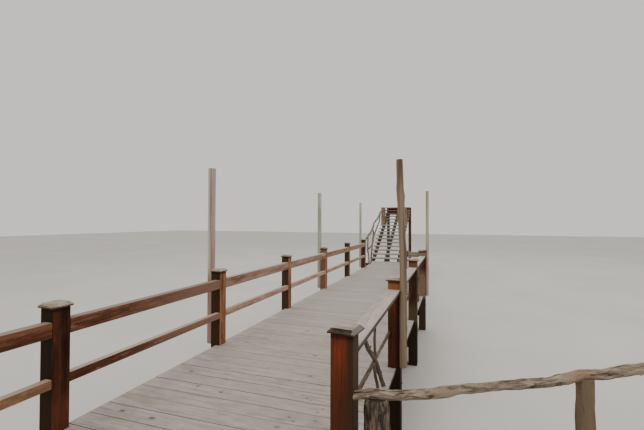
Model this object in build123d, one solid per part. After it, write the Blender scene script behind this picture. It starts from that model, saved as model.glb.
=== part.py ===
from build123d import *
import math
import os

# Timber boardwalk with an open stair at its far end. All sizes in millimetres.
# Plan measures start at the inner faces of the left posts (x = 0) and at the spot
# the walk is looked at from (y = 0). Heights are above the deck top unless they are
# ground heights, and everything is moved to the middle of the plan at the end.

DECK_TOP = 750.0          # deck top above the lowest ground
BOARD_T = 38.0            # deck board thickness
WALK_W = 2205.0           # clear width between left and right posts
LEFT_LIP = 60.0           # deck past the inner faces of the left posts
RIGHT_LIP = 90.0          # deck past the inner faces of the right posts
DECK_NEAR = -206.0        # near end of the deck
DECK_FAR = 14750.0        # far end of the deck, foot of the stair
LANDING = 720.0           # length of the wider strip at the foot of the stair

POST = 140.0              # square railing post
POST_TOP = 966.0          # underside of the cap
RIGHT_RISES = (17.0, 8.0, 18.0, 12.0)   # how much taller each right post stands
LEFT_BAY = 2131.0
LEFT_FIRST = -136.0
LEFT_COUNT = 7
RIGHT_BAY = 2070.0
RIGHT_FIRST = 2120.0
RIGHT_COUNT = 4

CAP_LEFT = 168.0          # square caps
CAP_RIGHT = 184.0
CAP_T = 38.0
FIRST_CAP = 178.0         # the first right cap is thinner and sits a little off centre
FIRST_CAP_T = 31.0
FIRST_CAP_X = 5.0
FIRST_CAP_Y = 10.0
CAP_BEVEL = 13.0

TOP_RAIL_LOW = 745.0
TOP_RAIL_HIGH = 860.0
TOP_RAIL_T = 85.0
LOW_RAIL_LOW = 367.0
LOW_RAIL_HIGH = 436.0
LOW_RAIL_T = 66.0

FLAT_TOP = 880.0          # flat board rail on the right side
FLAT_T = 38.0
BRANCH_R = 20.0           # usual radius of an infill branch
BRANCH_SET = 32.0         # branch centres behind the posts' inner faces
BRANCH_DRIFT = 20.0       # the level branch comes this much forward along its bay

STEP_IN = 395.0           # how far the right side steps in at the last right post
STAIR_CLEAR = 43.0        # from the stair's edge to the narrowing rail line
RETURN_LOW = 845.0
RETURN_HIGH = 960.0
RETURN_T = 45.0

POLE = 64.0               # square light pole on the left
POLE_TOPS = (2360.0, 2340.0, 2300.0)
POLE_SHIFT = 20.0         # poles stand this much nearer than the post's middle
ROUND_R = 41.0            # round light pole on the right
ROUND_FOOT = 42.0         # the round pole hangs on its post, just clear of the deck
ROUND_TOP = 2340.0
ROUND_LEAN = 42.0
ROUND_SHIFT = 115.0
THIN_R = 35.0
THIN_TOP = 2320.0

JOIST_T = 45.0
JOIST_H = 235.0
LONG_COUNT = 2            # joists that run the whole length
WIDE_COUNT = 2            # extra joists in the wide part
BEAM_W = 90.0
BEAM_H = 185.0

RISERS = 16
RISE = 147.0
GOING = 265.0
NOSING = 20.0
TREAD_GAP = 1.0
TREAD_T = 45.0
STAIR_LEFT = -300.0
STAIR_W = 1240.0
STRINGER_T = 50.0
STRINGER_IN = 75.0
STRINGER_DEEP = 330.0

NEWEL = 180.0
NEWEL_H = 830.0
RAIL_END = 745.0          # the log rails end this high above the newel's tread
NEWEL_STEP = 10           # the stair newels stand on this tread
NEWEL_INSET = 28.0
HAND_R = 42.0
LOW_LOG_R = 34.0
STAKE_R = 28.0

ENTRY_ANGLE = 19.73       # the log rail swings away from square by this much
ENTRY_LEN = 2640.0
ENTRY_SHIFT = 40.0
ENTRY_R = 36.0
ENTRY_H = 620.0
STUMP_R = 80.0
ENTRY_POST_R = 53.0
SADDLE = 25.0             # how far the posts reach up around the log
LOG_SIDES = 8

left_ys = [LEFT_FIRST + LEFT_BAY * i for i in range(LEFT_COUNT)]
right_ys = [RIGHT_FIRST + RIGHT_BAY * i for i in range(RIGHT_COUNT)]
under = DECK_TOP - BOARD_T
rail_under = FLAT_TOP - FLAT_T
stair_right = STAIR_LEFT + STAIR_W
reach = 3 * DECK_FAR
flat_share = math.cos(math.pi / LOG_SIDES)
nodes = {}


def block(x0, x1, y0, y1, z0, z1):
    return Pos(x0, y0, z0) * Box(x1 - x0, y1 - y0, z1 - z0,
                                 align=(Align.MIN, Align.MIN, Align.MIN))


def beyond(y):
    """Everything past the line y."""
    return block(-reach, reach, y, y + reach, -reach, reach)


def plate(points, z0, z1):
    face = Face(Wire.make_polygon([(x, y, z0) for x, y in points], close=True))
    return Solid.extrude(face, Vector(0, 0, z1 - z0))


def post(x, y, top=POST_TOP):
    return block(x, x + POST, y - POST / 2, y + POST / 2, 0, DECK_TOP + top)


def cap(x, y, size, top=POST_TOP, thick=CAP_T):
    body = Pos(x, y, DECK_TOP + top) * Box(
        size, size, thick, align=(Align.CENTER, Align.CENTER, Align.MIN))
    return chamfer(body.faces().sort_by(Axis.Z)[-1].edges(), CAP_BEVEL)


def stick(points, radii, side=(1, 0, 0), first=None, last=None):
    """A natural stick: flat-sided rings along the points, with chosen end planes."""
    pts = [Vector(*p) for p in points]
    rings = []
    for i, p in enumerate(pts):
        before = (p - pts[i - 1]).normalized() if i else None
        after = (pts[i + 1] - p).normalized() if i + 1 < len(pts) else None
        if before is None:
            way = Vector(*first) if first else after
        elif after is None:
            way = Vector(*last) if last else before
        else:
            way = before + after
        way = way.normalized()
        u = Vector(*side)
        u = (u - way * u.dot(way)).normalized()
        v = way.cross(u)
        rings.append(Wire.make_polygon(
            [p + u * (radii[i] * math.cos(2 * math.pi * (k + .5) / LOG_SIDES))
             + v * (radii[i] * math.sin(2 * math.pi * (k + .5) / LOG_SIDES))
             for k in range(LOG_SIDES)], close=True))
    return Solid.make_loft(rings, ruled=True)


def group(shapes):
    found = []
    for s in shapes:
        found += s.solids()
    return Compound(children=found)


# Left posts, each down to the ground, with the light poles on their outer faces.
for i, y in enumerate(left_ys):
    nodes["post_left_%d" % (i + 1)] = post(-POST, y)
pole_posts = range(2, LEFT_COUNT, 2)
left_caps = [cap(-POST / 2, y, CAP_LEFT) for y in left_ys]
for k, i in enumerate(pole_posts):
    y = left_ys[i] - POLE_SHIFT
    nodes["light_pole_left_%d" % (k + 1)] = block(
        -POST - POLE, -POST, y - POLE / 2, y + POLE / 2,
        DECK_TOP, DECK_TOP + POLE_TOPS[k])
    left_caps[i] = left_caps[i] - block(-reach, -POST, -reach, reach, 0, reach)
nodes["caps_left"] = group(left_caps)

# Left rails butt between the posts with their inner faces flush.
left_bays = list(zip(left_ys[:-1], left_ys[1:]))
nodes["rails_top_left"] = group([
    block(-TOP_RAIL_T, 0, a + POST / 2, b - POST / 2,
          DECK_TOP + TOP_RAIL_LOW, DECK_TOP + TOP_RAIL_HIGH) for a, b in left_bays])
nodes["rails_low_left"] = group([
    block(-LOW_RAIL_T, 0, a + POST / 2, b - POST / 2,
          DECK_TOP + LOW_RAIL_LOW, DECK_TOP + LOW_RAIL_HIGH) for a, b in left_bays])

# Right posts and caps. The second and fourth carry a round light pole outside.
right_tops = [POST_TOP + RIGHT_RISES[i % len(RIGHT_RISES)] for i in range(RIGHT_COUNT)]
for i, y in enumerate(right_ys):
    nodes["post_right_%d" % (i + 1)] = post(WALK_W, y, right_tops[i])
right_caps = [cap(WALK_W + POST / 2, y, CAP_RIGHT, t) for y, t in zip(right_ys, right_tops)]
right_caps[0] = cap(WALK_W + POST / 2 + FIRST_CAP_X, right_ys[0] + FIRST_CAP_Y, FIRST_CAP,
                    right_tops[0], FIRST_CAP_T)
for i in (1, RIGHT_COUNT - 1):
    right_caps[i] = right_caps[i] - block(WALK_W + POST, reach, -reach, reach, 0, reach)
nodes["caps_right"] = group(right_caps)

outer = WALK_W + POST
round_x, round_y = outer + ROUND_R * flat_share, right_ys[1] - ROUND_SHIFT
ROUND_SHAPE = ((0, 0, 1), (.47, 0, 1), (.62, .27, .98), (.82, .7, 1.06), (1, 1, .93))
nodes["light_pole_round"] = stick(
    [(round_x - ROUND_LEAN * s, round_y, DECK_TOP + ROUND_FOOT + (ROUND_TOP - ROUND_FOOT) * t)
     for t, s, r in ROUND_SHAPE],
    [ROUND_R * r for t, s, r in ROUND_SHAPE], first=(0, 0, 1), last=(0, 0, 1))
nodes["light_pole_thin"] = Pos(outer + THIN_R, right_ys[-1], DECK_TOP) * Cylinder(
    THIN_R, THIN_TOP, align=(Align.CENTER, Align.CENTER, Align.MIN))

# Flat board rails on the right.
right_bays = list(zip(right_ys[:-1], right_ys[1:]))
nodes["rails_flat_right"] = group([
    block(WALK_W, outer, a + POST / 2, b - POST / 2,
          DECK_TOP + rail_under, DECK_TOP + FLAT_TOP) for a, b in right_bays])

# Crooked branch infill: one near level, one falling, one upright, crossing in one spot.
# Each point is a share of the bay, a share of the height under the rail, and a
# share of the usual radius.
PANELS = (
    (((0, .455, .95), (.25, .464, .9), (.47, .454, .88), (.55, .46, .88), (.7, .456, .85),
      (.88, .461, .8), (1, .505, .78)),
     ((.25, 1, .95), (.34, .82, 1.), (.385, .725, 1.), (.466, .597, 1.05), (.548, .468, 1.1),
      (.638, .27, 1.1), (.726, .07, 1.15), (.76, 0, 1.15)),
     ((.543, 1, .68), (.538, .79, .7), (.53, .66, .72), (.548, .48, .75), (.522, .425, .75),
      (.548, .31, .78), (.6, .15, .82), (.625, 0, .85))),
    (((0, .43, .95), (.2, .47, .95), (.46, .5, .9), (.75, .475, .85), (1, .508, .8)),
     ((.19, 1, .9), (.3, .8, .95), (.37, .68, 1.), (.46, .5, 1.), (.57, .34, 1.05),
      (.66, .12, 1.1), (.69, 0, 1.15)),
     ((.5, 1, .7), (.485, .8, .72), (.46, .5, .75), (.475, .3, .78), (.44, .12, .8),
      (.45, 0, .82))),
    (((0, .5, .95), (.24, .47, .95), (.52, .48, .9), (.8, .455, .85), (1, .487, .8)),
     ((.27, 1, .9), (.33, .86, .95), (.45, .62, 1.), (.52, .48, 1.), (.6, .3, 1.05),
      (.71, .13, 1.1), (.75, 0, 1.15)),
     ((.705, 1, .75), (.7, .75, .8), (.69, .465, .85), (.695, .33, .85), (.68, .15, .88),
      (.675, 0, .9))),
)


def branch_panel(spec, length):
    """Branches in the plane x = 0, running from y = 0 to y = length."""
    bars = []
    for n, bar in enumerate(spec):
        end = (0, 1, 0) if n == 0 else (0, 0, -1)
        drift = BRANCH_DRIFT if n == 0 else 0
        bars.append(stick([(-drift * t, t * length, DECK_TOP + z * rail_under)
                           for t, z, r in bar],
                          [BRANCH_R * r for t, z, r in bar], first=end, last=end))
    return bars[0].fuse(bars[1]).fuse(bars[2])


bay_clear = RIGHT_BAY - POST
for i, y in enumerate(right_ys[:-1]):
    nodes["branches_right_%d" % (i + 1)] = Pos(
        WALK_W + BRANCH_SET, y + POST / 2, 0) * branch_panel(PANELS[i], bay_clear)

# The right side steps in at its last post and then narrows toward the stair.
step_x, step_y = WALK_W - STEP_IN, right_ys[-1]
lean = math.atan2(step_x - stair_right - STAIR_CLEAR, DECK_FAR - step_y)
narrow = Pos(step_x, step_y, 0) * Rot(0, 0, math.degrees(lean))


def narrow_point(x, y):
    return (step_x + x * math.cos(lean) - y * math.sin(lean),
            step_y + x * math.sin(lean) + y * math.cos(lean))


def narrow_x(off, y):
    """Plan x at y of the line that runs at a distance off the narrowing rail line."""
    px, py = narrow_point(off, 0)
    return px - (y - py) * math.tan(lean)


narrow_ys = [RIGHT_BAY * i for i in range(4)]
narrow_bays = list(zip(narrow_ys[:-1], narrow_ys[1:]))
for i, y in enumerate(narrow_ys):
    nodes["post_narrow_%d" % (i + 1)] = narrow * post(0, y)
nodes["caps_narrow"] = group([narrow * cap(POST / 2, y, CAP_LEFT) for y in narrow_ys])
nodes["rails_flat_narrow"] = group([
    narrow * block(0, POST, a + POST / 2, b - POST / 2,
                   DECK_TOP + rail_under, DECK_TOP + FLAT_TOP) for a, b in narrow_bays])
for i, y in enumerate(narrow_ys[:-1]):
    nodes["branches_narrow_%d" % (i + 1)] = narrow * Pos(
        BRANCH_SET, y + POST / 2, 0) * branch_panel(PANELS[(i + 1) % 3], bay_clear)

# Short return rail from the last right post to the stepped-in post.
step_post = nodes["post_narrow_1"]
nodes["rail_return"] = (block(
    step_x + POST / 2, WALK_W, step_y - RETURN_T / 2, step_y + RETURN_T / 2,
    DECK_TOP + RETURN_LOW, DECK_TOP + RETURN_HIGH) - step_post).solids()[0]

# Deck in two slabs, notched around the posts.
posts = [shape for name, shape in nodes.items() if name.startswith("post_")]
split = narrow_point(POST, POST / 2)[1] + NOSING
nodes["deck_wide"] = block(-LEFT_LIP, WALK_W + RIGHT_LIP, DECK_NEAR, split,
                           under, DECK_TOP) - posts
landing_y = DECK_FAR - LANDING
nodes["deck_narrow"] = plate(
    [(-LEFT_LIP, split), (narrow_x(RIGHT_LIP, split), split),
     (narrow_x(RIGHT_LIP, DECK_FAR), DECK_FAR), (STAIR_LEFT, DECK_FAR),
     (STAIR_LEFT, landing_y), (-LEFT_LIP, landing_y)], under, DECK_TOP) - posts

# Joists under the deck.
j0, j1 = under - JOIST_H, under
rim_end = DECK_FAR - JOIST_T
nodes["joist_rim_left"] = block(0, JOIST_T, DECK_NEAR, rim_end, j0, j1)
nodes["joist_rim_right"] = block(WALK_W - JOIST_T, WALK_W, DECK_NEAR, split, j0, j1)
narrow_rim = narrow * block(-JOIST_T, 0, 0, reach, j0, j1)
nodes["joist_rim_narrow"] = (narrow_rim - beyond(rim_end)) & beyond(split)
far_clear = narrow_x(-JOIST_T, DECK_FAR) - JOIST_T
pitch = (far_clear - 2 * JOIST_T) / LONG_COUNT
long_xs = [JOIST_T + pitch * (k + 1) - JOIST_T for k in range(LONG_COUNT)]
wide_gap = (WALK_W - JOIST_T - long_xs[-1]) / (WIDE_COUNT + 1)
wide_xs = [long_xs[-1] + wide_gap * (k + 1) for k in range(WIDE_COUNT)]
inner = [block(x, x + JOIST_T, DECK_NEAR + JOIST_T, rim_end, j0, j1) for x in long_xs]
inner += [block(x, x + JOIST_T, DECK_NEAR + JOIST_T, split - JOIST_T, j0, j1)
          for x in wide_xs]
spare = narrow_x(-JOIST_T, split) - long_xs[-1] - JOIST_T
slant = narrow * block(-JOIST_T - spare / 2, -spare / 2, 0, spare / 3 / math.tan(lean),
                       j0, j1)
inner.append(slant & beyond(split))
nodes["joists_inner"] = group(inner)
nodes["joist_ends"] = group([
    block(JOIST_T, WALK_W - JOIST_T, DECK_NEAR, DECK_NEAR + JOIST_T, j0, j1),
    block(STAIR_LEFT, narrow_x(0, DECK_FAR), rim_end, DECK_FAR, j0, j1),
    block(STAIR_LEFT, STAIR_LEFT + JOIST_T, landing_y, rim_end, j0, j1),
    block(STAIR_LEFT + JOIST_T, 0, landing_y, landing_y + JOIST_T, j0, j1)])
cross = block(JOIST_T, WALK_W - JOIST_T, split - JOIST_T, split, j0, j1)
for x in long_xs:
    cross = cross - block(x, x + JOIST_T, -reach, reach, 0, reach)
nodes["joist_step"] = group([cross - step_post])

# Cross beams under the joists, and a pier under the far end.
last_y = narrow_point(0, narrow_ys[-1])[1]
beams = []
for y in left_ys + [last_y]:
    right = WALK_W if y < split else narrow_x(0, y + BEAM_W / 2)
    beams.append(block(0, right, y - BEAM_W / 2, y + BEAM_W / 2, j0 - BEAM_H, j0))
nodes["beams"] = group([b - posts for b in beams])
nodes["pier_far"] = block(0, POST, last_y - POST / 2, last_y + POST / 2, 0, j0 - BEAM_H)

# Stair: saw-cut stringers, open treads, top header on two posts.
stair_end = DECK_FAR + RISERS * GOING
steps = [(DECK_FAR, DECK_TOP)]
for n in range(RISERS):
    y, z = DECK_FAR + n * GOING, DECK_TOP + (n + 1) * RISE - TREAD_T
    steps += [(y, z), (y + GOING, z)]
header_top = steps[-1][1]
steps += [(stair_end, header_top - STRINGER_DEEP),
          (DECK_FAR + GOING, DECK_TOP + RISE - STRINGER_DEEP),
          (DECK_FAR, DECK_TOP - JOIST_H)]
stringers = []
for x in (STAIR_LEFT + STRINGER_IN, STAIR_LEFT + (STAIR_W - STRINGER_T) / 2,
          stair_right - STRINGER_IN - STRINGER_T):
    face = Face(Wire.make_polygon([(x, y, z) for y, z in steps], close=True))
    stringers.append(Solid.extrude(face, Vector(STRINGER_T, 0, 0)))
nodes["stair_stringers"] = group(stringers)
nodes["stair_treads"] = group([
    block(STAIR_LEFT, stair_right, DECK_FAR + n * GOING - NOSING,
          DECK_FAR + (n + 1) * GOING - TREAD_GAP,
          DECK_TOP + (n + 1) * RISE - TREAD_T, DECK_TOP + (n + 1) * RISE)
    for n in range(RISERS)])
nodes["stair_header"] = block(STAIR_LEFT, stair_right, stair_end, stair_end + BEAM_W,
                              header_top - STRINGER_DEEP, header_top)
nodes["stair_header_posts"] = group([
    block(x, x + POST, stair_end, stair_end + BEAM_W, 0, header_top - STRINGER_DEEP)
    for x in (STAIR_LEFT, stair_right - POST)])

# Newels on a tread, with crooked log rails down to the deck on both sides.
newel_y = DECK_FAR + (NEWEL_STEP - 1) * GOING + NOSING
newel_z = DECK_TOP + NEWEL_STEP * RISE
newel_xs = (STAIR_LEFT + NEWEL_INSET, stair_right - NEWEL_INSET - NEWEL)
nodes["stair_newels"] = group([
    block(x, x + NEWEL, newel_y, newel_y + NEWEL, newel_z, newel_z + NEWEL_H)
    for x in newel_xs])
rail_start = left_ys[-1] + POST / 2
run = newel_y - rail_start
top_z = NEWEL_STEP * RISE + RAIL_END
stake_x = -LEFT_LIP - STAKE_R * flat_share


def log_line(points, x0, x1, y0, length, r, **ends):
    """Log from shares: along the run, up to the newel top, and of the radius."""
    return stick([(x0 + (x1 - x0) * t, y0 + length * t, DECK_TOP + top_z * z)
                  for t, z, s in points], [r * s for t, z, s in points], **ends)


HAND = ((0, .415, 1.), (.12, .46, 1.), (.26, .517, 1.04), (.39, .604, 1.), (.455, .668, .96),
        (.48, .706, .94), (.582, .75, .95), (.68, .795, .92), (.782, .86, .9),
        (.862, .925, .9), (1, .985, .88))
LOW = ((.155, .257, 1.), (.26, .278, 1.), (.352, .304, 1.04), (.415, .366, 1.),
       (.447, .448, 1.06), (.503, .494, 1.), (.57, .556, .95), (.655, .628, .95),
       (.73, .687, .92), (.785, .733, .9), (.825, .82, .88), (.855, .915, .84))
left_end = newel_xs[0] + NEWEL / 3
hand_left = log_line(HAND, -POST / 2, left_end, rail_start, run, HAND_R,
                     first=(0, 1, 0), last=(0, 1, 0))
low_left = log_line(LOW, -POST / 2, left_end, rail_start, run, LOW_LOG_R)
STAKE_A = ((.213, 1.), (.189, 1.), (.157, 1.), (.162, 1.), (.164, .95))
stake_a_z = (-BOARD_T - JOIST_H / 2, top_z * .145, top_z * .257, top_z * .38, top_z * .46)
stake_a = stick([(stake_x, rail_start + run * t, DECK_TOP + z)
                 for (t, s), z in zip(STAKE_A, stake_a_z)],
                [STAKE_R * s for t, s in STAKE_A], first=(0, 0, 1))
STAKE_B = ((.334, 0, 1.3), (.364, .218, 1.25), (.415, .38, 1.3), (.46, .511, 1.3),
           (.44, .56, 1.1), (.42, .615, 1.))
stake_b = stick([(stake_x + (left_end - stake_x) * t, rail_start + run * t,
                  DECK_TOP + top_z * z) for t, z, s in STAKE_B],
                [STAKE_R * s for t, z, s in STAKE_B], first=(0, 0, 1))
nodes["stair_rail_left"] = hand_left.fuse(stake_b).fuse(low_left).fuse(stake_a)

start_x, start_y = narrow_point(POST / 2, narrow_ys[-1] + POST / 2)
away = (-math.sin(lean), math.cos(lean), 0)
right_end = newel_xs[1] + NEWEL / 2
HAND_FAR = ((0, .405, 1.), (.2, .56, 1.), (.45, .72, .97), (.75, .86, .93), (1, .965, .88))
LOW_FAR = ((0, .17, 1.), (.22, .36, 1.), (.5, .56, .97), (.78, .71, .93), (1, .82, .88))
nodes["stair_rail_right"] = group([
    log_line(line, start_x, right_end, start_y, newel_y - start_y, r,
             first=away, last=(0, 1, 0))
    for line, r in ((HAND_FAR, HAND_R), (LOW_FAR, LOW_LOG_R))])

# Rough log rail swinging away from the first right post at the entry.
ux, uy = math.cos(math.radians(ENTRY_ANGLE)), math.sin(math.radians(ENTRY_ANGLE))
entry_y = right_ys[0] - ENTRY_SHIFT
ENTRY_LOG = ((0, 1., .92), (.042, 1.01, 1.), (.125, .995, 1.05), (.21, 1.05, 1.),
             (.34, 1.08, .97), (.435, 1.11, 1.), (.475, 1.165, 1.05), (.56, 1.19, 1.16),
             (.645, 1.24, 1.1), (.815, 1.275, 1.05), (1, 1.265, 1.))


def entry_point(share):
    return outer + ux * ENTRY_LEN * share, entry_y + uy * ENTRY_LEN * share


entry_log = stick([(*entry_point(s), DECK_TOP + ENTRY_H * z) for s, z, r in ENTRY_LOG],
                  [ENTRY_R * r for s, z, r in ENTRY_LOG], side=(-uy, ux, 0),
                  first=(1, 0, 0), last=(ux, uy, 0))
nodes["entry_log"] = entry_log
ENTRY_SPOTS = ((.055, STUMP_R, .93), (.521, ENTRY_POST_R, 1.12), (.985, ENTRY_POST_R, 1.2))
carriers = []
for share, r, top in ENTRY_SPOTS:
    x, y = entry_point(share)
    body = Pos(x, y, 0) * Cylinder(r, DECK_TOP + ENTRY_H * top + SADDLE,
                                   align=(Align.CENTER, Align.CENTER, Align.MIN))
    carriers.append((body - entry_log).solids().sort_by(Axis.Z)[0])
nodes["entry_stump"] = carriers[0]
nodes["entry_posts"] = group(carriers[1:])

# Shared frame: middle of the plan at the origin, ground at z = 0, stair toward +y.
x_max = entry_point(ENTRY_SPOTS[-1][0])[0] + ENTRY_SPOTS[-1][1]
x_min = STAIR_LEFT
y_max = stair_end + BEAM_W
place = Pos(-(x_min + x_max) / 2, -(DECK_NEAR + y_max) / 2, 0)

os.makedirs("parts", exist_ok=True)
for name, shape in nodes.items():
    solids = (place * shape).solids()
    shape = solids[0] if len(solids) == 1 else Compound(children=list(solids))
    shape.label = name
    export_step(shape, "parts/" + name + ".step")
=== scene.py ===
import math
import random

import bmesh
import bpy
from mathutils import Matrix, Vector, noise


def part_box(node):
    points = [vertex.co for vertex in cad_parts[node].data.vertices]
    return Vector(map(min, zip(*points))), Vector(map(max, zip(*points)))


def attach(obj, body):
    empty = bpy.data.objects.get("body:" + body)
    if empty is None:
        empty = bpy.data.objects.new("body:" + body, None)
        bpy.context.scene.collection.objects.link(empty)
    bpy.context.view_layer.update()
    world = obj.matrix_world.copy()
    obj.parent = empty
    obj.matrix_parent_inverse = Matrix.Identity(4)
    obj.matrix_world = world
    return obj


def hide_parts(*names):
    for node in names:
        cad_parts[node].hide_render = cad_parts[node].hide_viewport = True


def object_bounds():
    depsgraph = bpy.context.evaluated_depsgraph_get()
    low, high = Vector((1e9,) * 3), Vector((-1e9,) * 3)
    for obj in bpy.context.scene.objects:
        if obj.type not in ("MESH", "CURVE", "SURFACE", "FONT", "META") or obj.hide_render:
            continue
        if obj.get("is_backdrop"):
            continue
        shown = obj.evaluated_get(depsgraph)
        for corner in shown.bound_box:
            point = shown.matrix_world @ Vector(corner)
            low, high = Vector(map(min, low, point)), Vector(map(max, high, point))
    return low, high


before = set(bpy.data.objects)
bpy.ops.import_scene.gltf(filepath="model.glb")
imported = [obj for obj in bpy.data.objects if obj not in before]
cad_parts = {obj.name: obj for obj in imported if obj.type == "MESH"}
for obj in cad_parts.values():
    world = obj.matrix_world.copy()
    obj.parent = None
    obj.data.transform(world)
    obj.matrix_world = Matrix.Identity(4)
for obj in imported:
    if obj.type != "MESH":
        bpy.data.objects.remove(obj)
cad_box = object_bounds()
luck = random.Random(11)

PLAN_START = .136      # the plan's zero lies this far past the first left post's middle
LANDING = .72          # length of the wider strip of deck before the stair


# Places, read from the frame, in metres
def middle(box):
    return (box[0] + box[1]) / 2


left_posts = [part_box("post_left_%d" % n) for n in range(1, 8)]
right_posts = [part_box("post_right_%d" % n) for n in range(1, 5)]
slant_posts = [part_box("post_narrow_%d" % n) for n in range(1, 5)]
inner_left, inner_right = left_posts[0][1].x, right_posts[0][0].x
post_width = inner_left - left_posts[0][0].x
plan_y = middle(left_posts[0]).y + PLAN_START
deck_low, deck_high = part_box("deck_wide")
deck_top, board_thick, deck_near = deck_high.z, deck_high.z - deck_low.z, deck_low.y
lip_left, lip_right = inner_left - deck_low.x, deck_high.x - inner_right
split_y, deck_far = deck_high.y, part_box("deck_narrow")[1].y
slant_run = middle(slant_posts[-1]) - middle(slant_posts[0])
lean = math.atan2(-slant_run.x, slant_run.y)
slant = Matrix.Rotation(lean, 4, "Z")
slant_out = slant @ Vector((1, 0, 0))

# Where the deck meets a post, from -1 at the post's foot to 1 at its top
FOOT_AT = 2 * deck_top / left_posts[0][1].z - 1

STRAIGHT = Matrix.Identity(4)
ALONG_Y = Matrix.Rotation(math.pi / 2, 4, "Z")
UPRIGHT = Matrix.Rotation(-math.pi / 2, 4, "Y")


def at(spot, turn=STRAIGHT):
    return Matrix.Translation(spot) @ turn


# Finishes. Colours are given as the eye names them, 0 to 255
GLOSS, STAIN_GLOSS = .22, .08
WOOD_RELIEF = .0022
PINK = (172, 120, 112)
# Painted shade under a post's cap
UNDER_CAP_SHADE = (24, 16, 11)
# Above this a right post may be painted lighter, as lit
ABOVE_RAIL = (.882, .886)      # where a right post comes out over its rail

# Knots in the nearest boards: how far right of the left posts, how far on, and radius
DECK_MARKS = ((.677, 3.22, .014), (.767, 3.383, .013), (.793, 2.971, .026), (.502, 2.999, .026),
              (.946, 3.631, .016), (1.465, 3.6, .018), (.527, 2.386, .034), (.195, 2.39, .03),
              (1.557, 3.187, .014), (1.612, 3.145, .016), (1.662, 3.104, .015),
              (1.595, 2.793, .015), (1.65, 2.75, .016), (1.822, 2.811, .016),
              (1.796, 2.942, .014), (1.821, 3.013, .013))
MARK_STRETCH, MARK_EDGE = 1.7, 1.2     # its length to its width, and its soft edge
MARK_RIPPLE, MARK_SWAY = 42, .02       # how often and how far its outline wanders

# Where boards begin to look paler, and over what distance
FAR_FROM = plan_y + 3
FAR_REACH = 5


class Wire:
    """A socket that sums and products can be written with, each adding its Math node."""

    def __init__(self, finish, socket):
        self.finish = finish
        self.socket = socket

    def math(self, operation, first, second):
        return self.finish.node("ShaderNodeMath", {"operation": operation},
                                {0: first, 1: second})

    def __add__(self, other):
        return self.math("ADD", self, other)

    def __radd__(self, other):
        return self.math("ADD", other, self)

    def __sub__(self, other):
        return self.math("SUBTRACT", self, other)

    def __rsub__(self, other):
        return self.math("SUBTRACT", other, self)

    def __mul__(self, other):
        return self.math("MULTIPLY", self, other)

    def __rmul__(self, other):
        return self.math("MULTIPLY", other, self)


def paint(red, green, blue):
    """A colour as the eye names it, 0 to 255, made the linear one that shaders take."""
    return (*[((c / 255 + .055) / 1.055) ** 2.4 for c in (red, green, blue)], 1)


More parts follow.
